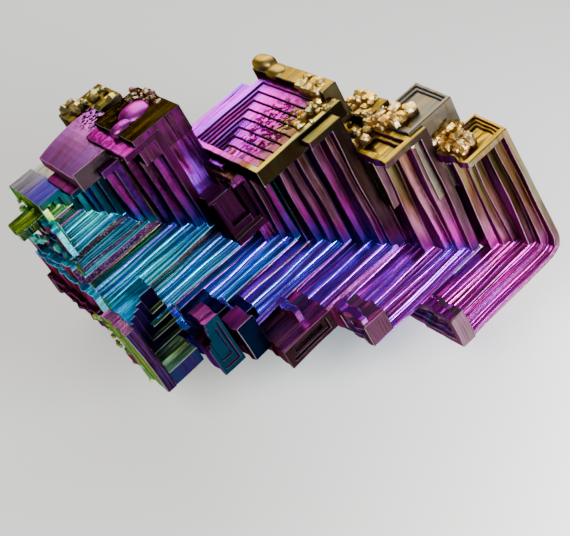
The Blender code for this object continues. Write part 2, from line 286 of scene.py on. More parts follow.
def rear_cuts(corner):
    """The pits of the face that looks back."""
    (p, q, c), (_, falling, rear), (_, height), _ = corner
    far_p, far_q = p + height - RIM, q + falling - RIM
    c -= rear
    cuts = []
    for count, (tread_p, tread_q, drop) in enumerate(REAR_TERRACES):
        p, q, c = p + tread_p, q + tread_q, c + drop
        wall = REAR_WALL_GROWTH * count
        if p < far_p - wall:
            cuts.append(((p, q, -FAR), (far_p - wall, far_q - wall, c)))
    return cuts


print("cuts for the first corner's terraces:", len(terrace_cuts(CORNERS[0])))

# %% Rings and pits
def outer_cuts(corner):
    """The rings in the underside and the flank, which only the first corner has."""
    (p, q, c), (_, falling, rear), (_, height), _ = corner
    cuts = []
    for inset, depth in UNDERSIDE_RINGS:
        low = (p - FAR, q + inset, c - rear + inset)
        cuts.append((low, (p + depth, q + falling - inset, c - inset)))
    for inset, depth in FLANK_RINGS:
        low = (p + inset + FLANK_SHIFT, q - FAR, c - rear + inset + FLANK_SHIFT)
        cuts.append((low, (p + height - inset, q + depth, c - inset - FLANK_SHIFT)))
    return cuts


def pit_cuts(axis, face, low_ends, high_ends, in_low, in_high, drop, rings):
    """Nested boxes that sink a stepped pit into one face."""
    cuts = []
    for count in range(rings):
        low, high = [0.0] * 3, [0.0] * 3
        low[axis], high[axis] = face - drop * (count + 1), FAR
        for side, other in enumerate([other for other in range(3) if other != axis]):
            low[other] = low_ends[side] + in_low[side] * count
            high[other] = high_ends[side] - in_high[side] * count
        cuts.append((tuple(low), tuple(high)))
    return cuts


print("cuts for the middle tower's top:", len(pit_cuts(*PITS["middle_tower_top"])))

# %% Every block and every cut
corner_boxes, corner_cuts = [], []
for number, corner in enumerate(CORNERS):
    (p, q, c), (rising, falling, rear), (crown_back, crown_height), _ = corner
    corner_boxes.append(((p, q, c - rear), (p + rising, q + falling, c)))
    cuts = terrace_cuts(corner) + rear_cuts(corner)
    cuts.append(((p + crown_height, -FAR, -FAR), (FAR, FAR, c - crown_back)))
    if number + 1 < len(CORNERS):
        next_p, next_q, _ = CORNERS[number + 1][0]
        cuts.append(((next_p + OVERLAP, next_q + OVERLAP, -FAR), (FAR, FAR, FAR)))
    if number == 0:
        cuts += outer_cuts(corner)
    corner_cuts.append(cuts)
face_cuts = [cut for pit in PITS.values() for cut in pit_cuts(*pit)]
print(sum(map(len, corner_cuts)), "cuts in the corners,", len(face_cuts), "in single faces")

# %% [markdown]
# ## From cells to a surface
# A face is needed wherever a full cell meets an empty one.  Comparing the array with itself,
# moved by one cell, finds all of them at once.  Each face's four corners are then numbered
# so that the face looks outwards.

# %% Faces between full and empty cells
def skin(full):
    """Quads between full and empty cells, as grid numbers, and the axis each looks along:
    1, 2 or 3 for p, q or c, and negative where it looks back along it."""
    padded = np.pad(full, 1)
    nodes = np.array(full.shape) + 1
    strides = np.array([nodes[1] * nodes[2], nodes[2], 1])
    quads, looks = [], []
    for axis in range(3):
        before = np.moveaxis(padded, axis, 0)[:-1]
        after = np.moveaxis(padded, axis, 0)[1:]
        one, other = [k for k in range(3) if k != axis]
        for sign in (1, -1):
            place = np.argwhere(before & ~after if sign > 0 else after & ~before)
            base = (place[:, 0] * strides[axis] + (place[:, 1] - 1) * strides[one]
                    + (place[:, 2] - 1) * strides[other])
            a, b = strides[one], strides[other]
            around = np.stack([base, base + a, base + a + b, base + b], axis=1)
            if (sign > 0) == (axis == 1):
                around = around[:, ::-1]
            quads.append(around)
            looks.append(np.full(len(base), (axis + 1) * sign))
    return np.concatenate(quads), np.concatenate(looks)


print("faces of one cell:", len(skin(np.ones((1, 1, 1), dtype=bool))[0]))

# %% One solid from a box and its cuts
THINNEST_CUT = 0.2      # a cut that is thinner than this inside the box is left out


def grown(box, cuts):
    """One solid: points, quads, the axis each quad looks along, and full cells per point."""
    box = np.array(box, dtype=float)
    cuts = [np.clip(np.array(cut, dtype=float), box[0], box[1]) for cut in cuts]
    cuts = [cut for cut in cuts if (cut[1] > cut[0] + THINNEST_CUT).all()]
    lines = [planes([box[0, k], box[1, k]] + [end[k] for cut in cuts for end in cut], WIDEST[k])
             for k in range(3)]
    full = np.ones([len(line) - 1 for line in lines], dtype=bool)
    for cut in cuts:
        ends = [[int(np.abs(lines[k] - cut[end, k]).argmin()) for end in (0, 1)] for k in range(3)]
        full[tuple(slice(*pair) for pair in ends)] = False
    quads, looks = skin(full)
    used, quads = np.unique(quads, return_inverse=True)
    grid = np.unravel_index(used, [len(line) for line in lines])
    points = np.stack([lines[k][grid[k]] for k in range(3)], axis=1)
    padded = np.pad(full, 1).astype(np.int8)
    a, b, c = full.shape
    crowd = sum(padded[i:i + a + 1, j:j + b + 1, k:k + c + 1]
                for i in (0, 1) for j in (0, 1) for k in (0, 1))[grid]
    return points, quads.reshape(-1, 4), looks, crowd


def touches(cut, box):
    """Whether a cut reaches into a box."""
    return all(cut[0][k] < box[1][k] and cut[1][k] > box[0][k] for k in range(3))


# %% Grow the corners and the single crystals
solids = []
for box, cuts in zip(corner_boxes, corner_cuts):
    solids.append(grown(box, cuts + [cut for cut in face_cuts if touches(cut, box)]))
for box in CRYSTALS.values():
    solids.append(grown(box, [cut for cut in face_cuts if touches(cut, box)]))
print("quads in each corner:", [len(solid[1]) for solid in solids[:len(CORNERS)]])
print("quads in the single crystals:", sum(len(solid[1]) for solid in solids[len(CORNERS):]))

# %% [markdown]
# ## Crumbs from the same cells
# A crumb is a cube of two cells each way, a lobe one of sixteen.  Dividing every point of the
# cube by its length makes a ball, and a length with a higher power makes something between a
# ball and a cube.  Crumbs are also pushed in and out at random, so no two are alike.

# %% Crumbs and lobes
def pebbles(centres, sizes, power, cells_wide, rough):
    """Points of a little cube of cells, each divided by its power norm, pushed in or out at
    random by the share rough, then sized and placed."""
    quads, looks = skin(np.ones((cells_wide,) * 3, dtype=bool))
    used, quads = np.unique(quads, return_inverse=True)
    grid = np.unravel_index(used, (cells_wide + 1,) * 3)
    cube = np.tan((np.stack(grid, axis=1) / cells_wide - 0.5) * np.pi / 2)
    ball = cube / (np.abs(cube) ** power).sum(axis=1, keepdims=True) ** (1 / power)
    push = 1 + rough * np.random.default_rng(7).uniform(-1, 1, (len(centres), len(ball), 1))
    points = centres[:, None, :] + sizes[:, None, :] * ball[None, :, :] * push
    numbers = quads.reshape(1, -1, 4) + len(ball) * np.arange(len(centres))[:, None, None]
    points = points.reshape(-1, 3)
    crowd = np.full(len(points), 4)
    return points, numbers.reshape(-1, 4), np.tile(looks, len(centres)), crowd


solids.append(pebbles(*crumbs, power=3.0, cells_wide=2, rough=0.16))
solids.append(pebbles(*lobes, power=2.3, cells_wide=16, rough=0.0))
CRUMB_OWNER, LOBE_OWNER = len(solids) - 1, len(solids)

# %% One list of points and faces
starts = np.cumsum([0] + [len(solid[0]) for solid in solids])
points = np.concatenate([solid[0] for solid in solids])
quads = np.concatenate([solid[1] + start for solid, start in zip(solids, starts)])
looks = np.concatenate([solid[2] for solid in solids])
crowd = np.concatenate([solid[3] for solid in solids])
owners = np.concatenate([np.full(len(solid[1]), i + 1) for i, solid in enumerate(solids)])
print(len(points), "points,", len(quads), "faces")

# %% [markdown]
# ## From boxes to grown metal
# A real crystal has no perfectly sharp edge and no perfectly straight wall.  Small rules move
# the points that are already there: edges are worn, walls waver from layer to layer, the
# first rim leans, and the far left crystal bulges like a drop.  Each is a formula on the whole
# array, so it can be tried, tuned or left out by itself.

# %% Lean and waver
RIM_LEAN = 13.0          # how far the first rim leans in at its top
LEAN_LEFT, LEAN_BACK = 60.0, 120.0      # how far to the left and back the lean goes on
WAVER = 1.7              # how far the walls wander
CALM_EDGE, CALM = 14, 0.12              # they wander less near the first two faces
TOWERS_FROM, TOWERS_SLOPE, TOWERS_FADE = 150, 0.25, 20
TOWERS_CALM = 0.8        # and this much less on the towers
P_SHARE, C_SHIFT = 0.8, 0.35            # how far p and c wander, beside q


def rim_lean(points):
    """Moves q by RIM_LEAN at the top of the first corner's rim, fading to nothing downwards,
    over LEAN_LEFT to the left and over LEAN_BACK to the back."""
    height = np.clip(points[:, 0] / CORNERS[0][1][0], 0.0, 1.0)
    nearness = np.clip(1.0 - points[:, 1] / LEAN_LEFT, 0.0, 1.0)
    front = np.clip(1.0 + points[:, 2] / LEAN_BACK, 0.0, 1.0)
    leaned = points.copy()
    leaned[:, 1] += RIM_LEAN * height * nearness * front
    return leaned


def wander(first, second, seed):
    """A smooth wavering between about -1 and 1: the sum of three sines of different lengths,
    each with a random start."""
    turns = np.random.default_rng(seed).uniform(0, 2 * np.pi, 6)
    return (0.5 * np.sin(first + second + turns[0])
            + 0.4 * np.sin(1.7 * first - 0.6 * second + turns[1])
            + 0.4 * np.sin(0.45 * first + 1.6 * second + turns[2])) / 1.1


def uneven_growth(points):
    """Shifts q by a wavering of p and c, p by one of q and c, and c by one of p and q.  It is
    less at the first rim, and less again on the towers, above a plane that rises along q."""
    p, q, c = points.T
    inside = np.clip(q / CALM_EDGE, CALM, 1) * np.clip(p / CALM_EDGE, CALM, 1)
    towers = np.clip((p - TOWERS_FROM - TOWERS_SLOPE * q) / TOWERS_FADE, 0, 1)
    size = WAVER * inside * (1 - TOWERS_CALM * towers)
    moved = points.copy()
    # long waves along the arms, short ones from layer to layer
    moved[:, 1] += size * wander(p / 34, c / 4.3, 5)
    moved[:, 0] += P_SHARE * size * wander(q / 30, c / 4.0, 9)
    moved[:, 2] += C_SHIFT * wander(p / 9, q / 11, 12)
    return moved


print("the waver of five layers:", wander(0.0, np.arange(5) / 4.3, 5).round(2))

# %% Round, dome and wear
FIRST_EDGE_WIDTH, FIRST_EDGE_ROUNDING = 24.0, 0.9
DOME_FOOT, DOME_FADE = 262, 20           # along p, where the doming starts and is in full
DOME_RIGHT, DOME_FRONT, DOME_BACK = 240, -250, -346
DOME_TOP_Q, DOME_TOP_C = 262, -296       # the dome falls off past these
DOME_CURVE_Q, DOME_CURVE_C, DOME_DEEPEST = 0.0026, 0.0007, 14
EDGE_WEAR = 0.40         # how far an outer edge is worn in
GROOVE_FILL = 0.6        # how much of that an inner edge is filled by


def rounded_corner(points):
    """Near the first edge, draws the square (p, q) corner towards a quarter circle: for the
    share FIRST_EDGE_ROUNDING, a spot's distance from the circle's centre becomes the longer of
    its distances along p and along q."""
    width = FIRST_EDGE_WIDTH
    u = np.clip((width - points[:, 0]) / width, 0, None)
    v = np.clip((width - points[:, 1]) / width, 0, None)
    both = (u > 0) & (v > 0)
    roundness = np.maximum(u, v) / np.maximum(np.hypot(u, v), 1e-6)
    pull = np.where(both, 1 - FIRST_EDGE_ROUNDING + FIRST_EDGE_ROUNDING * roundness, 1.0)
    moved = points.copy()
    moved[:, 0] = np.where(both, width * (1 - u * pull), moved[:, 0])
    moved[:, 1] = np.where(both, width * (1 - v * pull), moved[:, 1])
    return moved


def domed_face(points):
    """Lowers the far left crystal's top by the squares of the distances past the top of the
    dome, leftwards and backwards, and by no more than DOME_DEEPEST."""
    p, q, c = points.T
    over = (np.clip((p - DOME_FOOT) / DOME_FADE, 0, 1)
            * (q > DOME_RIGHT) * (c < DOME_FRONT) * (c > DOME_BACK))
    fall = (DOME_CURVE_Q * np.clip(q - DOME_TOP_Q, 0, None) ** 2
            + DOME_CURVE_C * np.clip(DOME_TOP_C - c, 0, None) ** 2)
    moved = points.copy()
    moved[:, 0] -= over * np.minimum(fall, DOME_DEEPEST)
    return moved


def worn_edges(points):
    """Sums the directions of the faces round each point.  With fewer than four of the eight
    cells round it full, a point is on an outer edge and moves in; with more, it moves out."""
    directions = np.zeros((len(quads), 3))
    directions[np.arange(len(quads)), np.abs(looks) - 1] = np.sign(looks)
    sums = np.zeros_like(points)
    for corner in range(4):
        for axis in range(3):
            sums[:, axis] += np.bincount(quads[:, corner], directions[:, axis], len(points))
    sums = np.clip(sums / 2.0, -1.0, 1.0)
    way = np.where(crowd < 4, -EDGE_WEAR, np.where(crowd > 4, GROOVE_FILL * EDGE_WEAR, 0.0))
    return points + sums * way[:, None]


# %% Stand it on the table
def turned(points):
    """Points in the table's directions, raised to their height over it."""
    return points @ np.array(TURN).T + np.array([0.0, 0.0, REST_HEIGHT])


solid_points = np.unique(quads[owners < CRUMB_OWNER])
above = turned(rim_lean(points))[solid_points]
above = above[above[:, 2] >= 0]
middle = (above.min(axis=0) + above.max(axis=0)) / 2
print("middle of the crystal, layers:", middle.round(2))

placed = turned(rim_lean(uneven_growth(domed_face(rounded_corner(worn_edges(points))))))
placed[:, 2] = np.maximum(placed[:, 2], 0.0)
placed[:, :2] -= middle[:2]
placed *= LAYER
print("size, mm:", (1000 * (placed.max(axis=0) - placed.min(axis=0))).round(2))

# %% [markdown]
# ## How thick the film is, and where
# The film is thin and golden where the metal cooled last, at the tops, and runs through rose,
# magenta, violet, blue and cyan to green where it stayed hot.  A painted image would need
# every face unwrapped.  Instead, each face corner carries a few numbers: the film, how bare
# the metal is, the light and shade painted on it, how much painted glint it has, how strong
# its growth lines are and how strong the highlight painted on its edge is.  The material then
# reads them as attributes.

# %% The film on the chain of corners
FILMS = np.array([
    # The film at the spine, low and high on the rising arm, near and far on the falling arm,
    # on the rising and the falling arm's walls and on the crown, then the painted light and shade
    # of the rising arm, and how much the film changes from terrace to terrace of the falling arm.
    # spine low   high  near   far   wall  wall   crown light  change
    (0.50, 0.38, 0.25, 0.500, 0.51, 0.45, 0.495, 0.19, 0.42, 0.02),
    (0.56, 0.41, 0.27, 0.520, 0.55, 0.46, 0.525, 0.19, 0.40, 0.045),
    (0.61, 0.43, 0.34, 0.555, 0.53, 0.47, 0.555, 0.24, 0.26, 0.07),
    (0.65, 0.46, 0.36, 0.620, 0.68, 0.48, 0.600, 0.30, 0.17, 0.16),
    (0.67, 0.47, 0.37, 0.680, 0.78, 0.48, 0.700, 0.34, 0.13, 0.16),
    (0.70, 0.49, 0.45, 0.735, 0.79, 0.49, 0.760, 0.44, 0.115, 0.16),
    (0.72, 0.49, 0.46, 0.765, 0.84, 0.49, 0.780, 0.48, 0.115, 0.14),
    (0.80, 0.48, 0.45, 0.840, 0.88, 0.60, 0.800, 0.50, 0.10, 0.04),
    (0.86, 0.80, 0.74, 0.840, 0.89, 0.70, 0.760, 0.45, 0.10, 0.06),
    (0.92, 0.84, 0.74, 0.960, 0.98, 0.80, 0.940, 0.66, 0.18, 0.03),
])
END_FILMS = [0.44, 0.44, 0.44, 0.42, 0.44, 0.44, 0.42, 0.43, 0.44, 0.98]  # falling arms' ends

numbers = np.arange(len(CORNERS))
# Painted light on the falling treads and their walls, for the bright room they mirror.
FALL_LIGHT = np.interp(numbers, [0, 1, 2, 5], [0.30, 0.55, 0.80, 1.9])
FALL_WALL_LIGHT = np.interp(numbers, [0, 2, 4], [0.75, 0.9, 1.4])
# How strong the painted edge highlight and the painted glint are on the falling arms.
FALL_EDGE_HIGHLIGHT = np.interp(numbers, [0, 3, 6], [0.35, 0.7, 0.9])
FALL_GLINT = np.minimum(0.15 + 0.11 * numbers, 0.8)
RIM_BARE = np.maximum(0.24 - 0.08 * numbers, 0.0)
# Deep in a corner, as a share of its terraces' height, its falling treads get painted shade.
# The first two stay unshaded, and the eighth is shaded from its top.
NEVER = np.inf
DARK_FROM = np.array([NEVER, NEVER, 0.62, 0.62, 0.62, 0.62, 0.62, -0.3, 0.62, 0.62])
DARKNESS = np.where(DARK_FROM < 0, 0.95, 0.72)
print("light of the falling arms:", FALL_LIGHT.round(2))

# %% The film on the single crystals
CRYSTAL_FILMS = {
    # Film on the faces along p, q and c, how bare they are, and the light and shade painted on them along
    # p, q and c.
    "second_tower": (0.235, 0.24, 0.235, 0.42, 0.28, 0.3, 0.25),
    "second_saddle": (0.19, 0.22, 0.41, 0.1, 0.25, 0.2, 0.13),
    "third_tower": (0.19, 0.20, 0.20, 0.1, 0.25, 0.2, 0.17),
    "middle_tower": (0.45, 0.40, 0.29, 0.0, 0.36, 0.04, 0.026),
    "middle_lip": (0.20, 0.24, 0.22, 0.12, 0.34, 0.2, 0.09),
    "middle_core": (0.53, 0.52, 0.50, 0.0, 0.60, 0.3, 0.13),
    "middle_ledge": (0.42, 0.46, 0.49, 0.1, 0.55, 0.06, 0.018),
    "left_tower": (0.44, 0.44, 0.50, 0.0, 0.5, 0.3, 0.25),
    "left_tower_cap": (0.27, 0.36, 0.46, 0.0, 0.14, 0.10, 0.07),
    "far_left_face": (0.505, 0.46, 0.42, 0.42, 0.72, 0.5, 0.06),
    "far_left_root": (0.44, 0.46, 0.44, 0.1, 0.4, 0.3, 0.084),
    "far_left_back": (0.25, 0.26, 0.26, 0.1, 0.30, 0.3, 0.17),
    "far_left_cube": (0.05, 0.06, 0.07, 0.5, 0.6, 0.8, 0.42),
    "tip_one": (0.43, 0.44, 0.43, 0.4, 0.6, 0.3, 0.25),
    "tip_two": (0.43, 0.44, 0.44, 0.2, 0.6, 0.2, 0.11),
    "finger_three": (0.45, 0.44, 0.40, 0.0, 0.7, 0.12, 0.05),
    "finger_four": (0.49, 0.44, 0.72, 0.0, 0.8, 0.08, 0.012),
    "finger_four_root": (0.62, 0.44, 0.74, 0.0, 0.2, 0.05, 0.0084),
    "finger_five": (0.487, 0.54, 0.80, 0.08, 0.8, 0.12, 0.035),
    "finger_five_root": (0.66, 0.60, 0.74, 0.0, 0.15, 0.05, 0.0084),
    "finger_six_wall": (0.47, 0.98, 0.55, 0.25, 0.6, 0.5, 0.04),
    "finger_six_foot": (0.96, 0.44, 0.68, 0.15, 0.80, 0.3, 0.06),
    "finger_six_root": (0.975, 0.70, 0.62, 0.0, 1.0, 0.1, 0.03),
    "left_foot": (0.99, 0.70, 0.97, 0.1, 0.5, 0.4, 0.17),
    "middle_foot": (0.70, 0.60, 0.66, 0.1, 0.4, 0.3, 0.13),
    "rear_foot": (0.80, 0.70, 0.75, 0.1, 0.4, 0.3, 0.13),
    "lower_left_arm": (0.45, 0.44, 0.42, 0.05, 0.25, 0.18, 0.051),
    "left_tip": (0.985, 0.99, 0.96, 0.0, 0.4, 0.6, 0.17),
}
# How strong the growth lines are, where that differs from the usual.
USUAL_LINES = 0.4
LINES = {"second_tower": 0.15, "far_left_face": 0.06, "left_tower": 1.0, "left_tower_cap": 0.8,
         "middle_tower": 0.3, "far_left_root": 0.8, "lower_left_arm": 0.8, "middle_core": 1.0,
         "finger_four": 0.15, "finger_five": 0.15, "finger_six_wall": 0.9, "left_tip": 1.0,
         "finger_six_root": 0.5}
# Crystals whose edges get less than the full painted highlight.
EDGE_HIGHLIGHTS = {"middle_ledge": 0.2, "finger_three": 0.6, "finger_five": 0.45, "middle_tower": 0.8,
         "lower_left_arm": 0.6}
# Faces with a film that changes along them: the crystal, the axis they look along (1 to 3),
# the axis of the change (0 to 2), places along it, and the film and the painted light and shade at each
# place.
GRADED_FACES = [
    ("middle_tower", 1, 2, (-236, -202, -150, -112), (0.55, 0.505, 0.445, 0.225), (1.0, 0.85, 0.50, 0.80)),
    ("left_tower", 3, 0, (190, 225, 250, 282), (0.565, 0.555, 0.51, 0.46), (0.62, 0.56, 0.20, 0.15)),
    ("finger_three", 1, 0, (80, 86), (0.45, 0.45), (0.07, 0.7)),
    ("finger_five", 1, 0, (144, 150), (0.487, 0.487), (0.07, 0.8)),
    ("finger_six_root", 1, 0, (160, 168), (0.975, 0.78), (1.0, 1.0)),
]
print(len(FILMS), "rows for corners,", len(CRYSTAL_FILMS), "for single crystals")

# %% An empty coat
where = points[quads]
# light holds painted light and shade, glint painted glints, edge the painted edge highlight.
coat = {key: np.zeros(quads.shape) for key in ("film", "bare", "layers", "glint")}
coat |= {key: np.ones(quads.shape) for key in ("light", "edge")}
# Places across and along the growth lines, which run along p or q.
across = np.where((np.abs(looks) == 3)[:, None], where[..., 1], where[..., 2])
along = np.where((np.abs(looks) == 1)[:, None], where[..., 1], where[..., 0])
print("face corners to coat:", quads.size)

# %% Where a spot lies on its corner
BEYOND = (60, 90)        # carries the spine's line on past the last terrace


def on_corner(number):
    """The faces of one corner of the chain, their spots, whether each face is on the rising
    arm, and how far along its arm each spot is, from 0 at the spine to 1 at the end.  The
    spine is the line through the terraces' inner corners."""
    (p, q, _), (rising_arm, falling_arm, _), _, terraces = CORNERS[number]
    mine = np.flatnonzero(owners == number + 1)
    spot, look = where[mine], looks[mine][:, None]
    steps = np.cumsum([(p, q)] + [tread[:2] for tread in terraces] + [BEYOND], axis=0)
    over = spot[..., 0] - np.interp(spot[..., 1], steps[:, 1], steps[:, 0])
    beside = spot[..., 1] - np.interp(spot[..., 0], steps[:, 0], steps[:, 1])
    rising = np.where(look == 3, over.mean(axis=1, keepdims=True) > 0, look == 2)
    reach = np.where(rising, over / rising_arm, beside / falling_arm).clip(0.0, 1.0)
    return mine, spot, look, rising, reach


print("faces on the first corner's rising arm:", int(on_corner(0)[3].sum()))

# %% Coat the corners
SPINE_REACH = 0.15             # how far the spine's film reaches, as a share of the arm
CROWN, END = 16, 14            # the outermost layers of the rising and the falling arm
DARK_FILM, DARK_FADE, DARK_GLINT = 0.45, 0.2, 0.2
RISING_CHANGE = 0.07           # how much the film changes from terrace to terrace when rising
FILM_WAVE, BLADE_WAVE = 5.0, 3.1        # how many layers its changes, and the light's, take
# How the painted light on the rising treads wavers from layer to layer.
BLADE_MIDDLE, BLADE_CHANGE, BLADE_LIMITS = 0.75, 0.6, (0.15, 1.3)
# Painted light and shade on the crown, the falling arm's end, the rising arm's walls and its rim.
CROWN_LIGHT, END_LIGHT, RISING_WALL_LIGHT, RIM_LIGHT = 0.45, 0.5, 0.7, 0.58
RISING_LINES, FALLING_LINES = 0.40, 0.48
RISING_WIDTH, FALLING_WIDTH = 0.3, 0.8   # the lower, the wider the growth lines
# How strong the painted edge highlight is on the rising arms.
RISING_EDGE_HIGHLIGHT = 0.85
LAST_CROWN_BARE = ((-343, -328, -312), (1.0, 0.85, 0.3))  # places along c, and how bare


def coat_corner(number):
    """Film: the spine's, then by distance along the arm that of the arm.  Painted light and
    shade: by arm, and on the rising arm by layer, as a wavering.  Crown, end and treads in
    painted shade have their own."""
    mine, spot, look, rising, reach = on_corner(number)
    (p, q, c), arms, _, terraces = CORNERS[number]
    spine, low, high, near, far, rise_wall, fall_wall, crown_film, rising_painted_light, change = FILMS[number]
    tread = look == 3
    falling_tread = tread & ~rising
    rim = tread & (spot[..., 2] > c - 0.5)
    crown = (look == 1) & (spot[..., 0] > p + arms[0] - CROWN)
    end = (look == 2) & (spot[..., 1] > q + arms[1] - END)
    level = spot[..., 2].mean(axis=1, keepdims=True)
    depth = (c - spot[..., 2]) / sum(drop for _, _, drop in terraces)
    # Painted shade on the falling treads deep in the corner; it also turns their film darker.
    dark = np.clip((depth - DARK_FROM[number]) / DARK_FADE, 0, 1) * falling_tread

    at_spine = np.exp(-reach / SPINE_REACH)
    arm = np.where(rising, low + (high - low) * reach, near + (far - near) * reach)
    arm = np.where(tread, arm, np.where(rising, rise_wall, fall_wall))
    film = at_spine * spine + (1 - at_spine) * arm
    film = film + dark * (DARK_FILM - film)
    layer = wander(level / FILM_WAVE, 0.0, 40 + number)
    film = film + layer * np.where(rising, RISING_CHANGE, change) * tread
    coat["film"][mine] = np.where(crown, crown_film, np.where(end, END_FILMS[number], film))

    # Painted light and shade by arm and wall, wavering by layer on the rising treads.
    blade = BLADE_MIDDLE + BLADE_CHANGE * wander(level / BLADE_WAVE, 0.0, 60 + number)
    blade = rising_painted_light * np.clip(blade, *BLADE_LIMITS)
    light = np.where(tread, np.where(rising, blade, FALL_LIGHT[number]),
                     np.where(rising, RISING_WALL_LIGHT * rising_painted_light, FALL_WALL_LIGHT[number]))
    light = np.where(crown, CROWN_LIGHT, np.where(end, END_LIGHT, light))
    light = light * (1 - DARKNESS[number] * dark)
    coat["light"][mine] = light * np.where(rim & rising, RIM_LIGHT, 1.0)

    # Painted glint on the falling treads, less where they lie in painted shade.
    coat["glint"][mine] = FALL_GLINT[number] * falling_tread * (1 - (1 - DARK_GLINT) * dark)
    coat["layers"][mine] = np.where(rising, RISING_LINES, FALLING_LINES)
    # How strong the painted edge highlight is.
    coat["edge"][mine] = np.where(rising, RISING_EDGE_HIGHLIGHT, FALL_EDGE_HIGHLIGHT[number])
    bare = np.where(rim, RIM_BARE[number], 0.0)
    if number == len(CORNERS) - 1:
        bare = np.where(crown, np.interp(spot[..., 2], *LAST_CROWN_BARE), bare)
    coat["bare"][mine] = bare
    across[mine] = np.where(falling_tread, spot[..., 0], across[mine])
    across[mine] *= np.where(rising, RISING_WIDTH, FALLING_WIDTH)
    along[mine] = np.where(falling_tread, spot[..., 1], along[mine])


for number in range(len(CORNERS)):
    coat_corner(number)
print("film on the chain, from", coat["film"][owners < FIRST_CRYSTAL].min().round(2),
      "to", coat["film"][owners < FIRST_CRYSTAL].max().round(2))

# %% Coat the single crystals
for name, owner in crystal_owner.items():
    mine = owners == owner
    row = np.array(CRYSTAL_FILMS[name])
    axis = np.abs(looks[mine]) - 1
    coat["film"][mine] = row[axis][:, None]
    coat["bare"][mine] = row[3]
    # Painted light and shade by the axis a face looks along, and its painted edge highlight.
    coat["light"][mine] = row[axis + 4][:, None]
    coat["layers"][mine] = LINES.get(name, USUAL_LINES)
    coat["edge"][mine] = EDGE_HIGHLIGHTS.get(name, 1.0)
for name, look, axis, places, films, lights in GRADED_FACES:
    mine = (owners == crystal_owner[name]) & (looks == look)
    coat["film"][mine] = np.interp(where[mine][..., axis], places, films)
    coat["light"][mine] = np.interp(where[mine][..., axis], places, lights)
print(len(crystal_owner), "crystals coated,", len(GRADED_FACES), "of them with a graded face")

# %% Coat the crumbs, the lobes and the faces that look away
# LOBE_LIGHT is the painted light and shade of the lobes.
LUMP_BARE, LOBE_LIGHT = 0.12, 0.60
LOBE_FILMS = (0.20, 0.50)      # on the middle tower, and on the higher cap
CAP_HEIGHT = 270
AWAY_FILM, AWAY_CHANGE = 0.48, 0.5
AWAY_LEFT, AWAY_BACK = 600, 400          # distances over which it changes by AWAY_CHANGE

crumb, lobe = owners == CRUMB_OWNER, owners == LOBE_OWNER
coat["film"][crumb] = np.repeat(crumb_films, crumb.sum() // len(crumb_films))[:, None]
coat["film"][lobe] = np.where(where[lobe][..., 0] > CAP_HEIGHT, LOBE_FILMS[1], LOBE_FILMS[0])
coat["light"][lobe] = LOBE_LIGHT
coat["bare"][crumb | lobe] = LUMP_BARE
# Faces that look back, down or to the right run from magenta to green, leftwards and backwards.
away = (looks < 0) & (owners < CRUMB_OWNER)
back_left = where[away][..., 1] / AWAY_LEFT - where[away][..., 2] / AWAY_BACK
coat["film"][away] = AWAY_FILM + AWAY_CHANGE * back_left
# Only a spot on an outer edge gets the painted edge highlight.
coat["edge"] *= (crowd < 4)[quads]
print("mean film:", coat["film"].mean().round(3), "mean light:", coat["light"].mean().round(3))

# %% [markdown]
# ## Grit
# Some faces are rough and dark, as if sprinkled with sand: metal that drained off left their
# layers torn.  Real pits would need far too many faces, so a few soft patches only say where
# it is grainy, and the material adds the grains.

# %% Where the surface is grainy and dark
GRIT = [
    # centre, half-widths, how grainy
    ((284, 250, -310), (12, 24, 46), 1.0),
    ((292, 222, -266), (8, 26, 26), 1.0),
    ((292, 212, -240), (8, 8, 14), 0.7),
    ((230, 150, -166), (18, 50, 36), 0.85),
    ((200, 360, -250), (60, 14, 60), 0.5),
    ((250, 260, -250), (80, 40, 60), 0.45),
    ((230, 225, -225), (80, 60, 30), 0.35),
    ((120, 75, -70), (60, 20, 40), 0.25),
]
PATCH_EDGE = 1.6         # the higher, the harder a patch's edge


def grit_of(where):
    """How grainy: for each patch, one less the squared distance in half-widths, times
    PATCH_EDGE, between 0 and 1, and the largest of the patches' values."""
    grain = np.zeros(where.shape[:2])
    for centre, size, amount in GRIT:
        distance = (((where - np.array(centre)) / np.array(size)) ** 2).sum(axis=-1)
        grain = np.maximum(grain, amount * np.clip(PATCH_EDGE * (1 - distance), 0, 1))
    return grain


coat["grit"] = grit_of(where) * (looks > 0)[:, None]
print("grainy share:", round(float((coat["grit"] > 0.1).mean()), 3))

# %% [markdown]
# ## The meshes
# Blender takes whole arrays with foreach_set, which is far quicker than adding faces one by
# one.  The crystal is split into seven objects, because a very large mesh is slow to handle,
# and all of them share the crystal's place and its one material.

# %% Make the mesh
def mesh_object(name, points, quads, smooth):
    """A mesh object from whole arrays of points and four-cornered faces."""
    mesh = bpy.data.meshes.new(name)
    mesh.vertices.add(len(points))
    mesh.vertices.foreach_set("co", points.astype(np.float32).ravel())
    mesh.loops.add(quads.size)
    mesh.loops.foreach_set("vertex_index", quads.astype(np.int32).ravel())
    mesh.polygons.add(len(quads))
    mesh.polygons.foreach_set("loop_start", np.arange(0, quads.size, 4, dtype=np.int32))
    mesh.polygons.foreach_set("use_smooth", smooth)
    mesh.update(calc_edges=True)
    mesh.validate()
    thing = bpy.data.objects.new(name, mesh)
    bpy.context.scene.collection.objects.link(thing)
    return thing


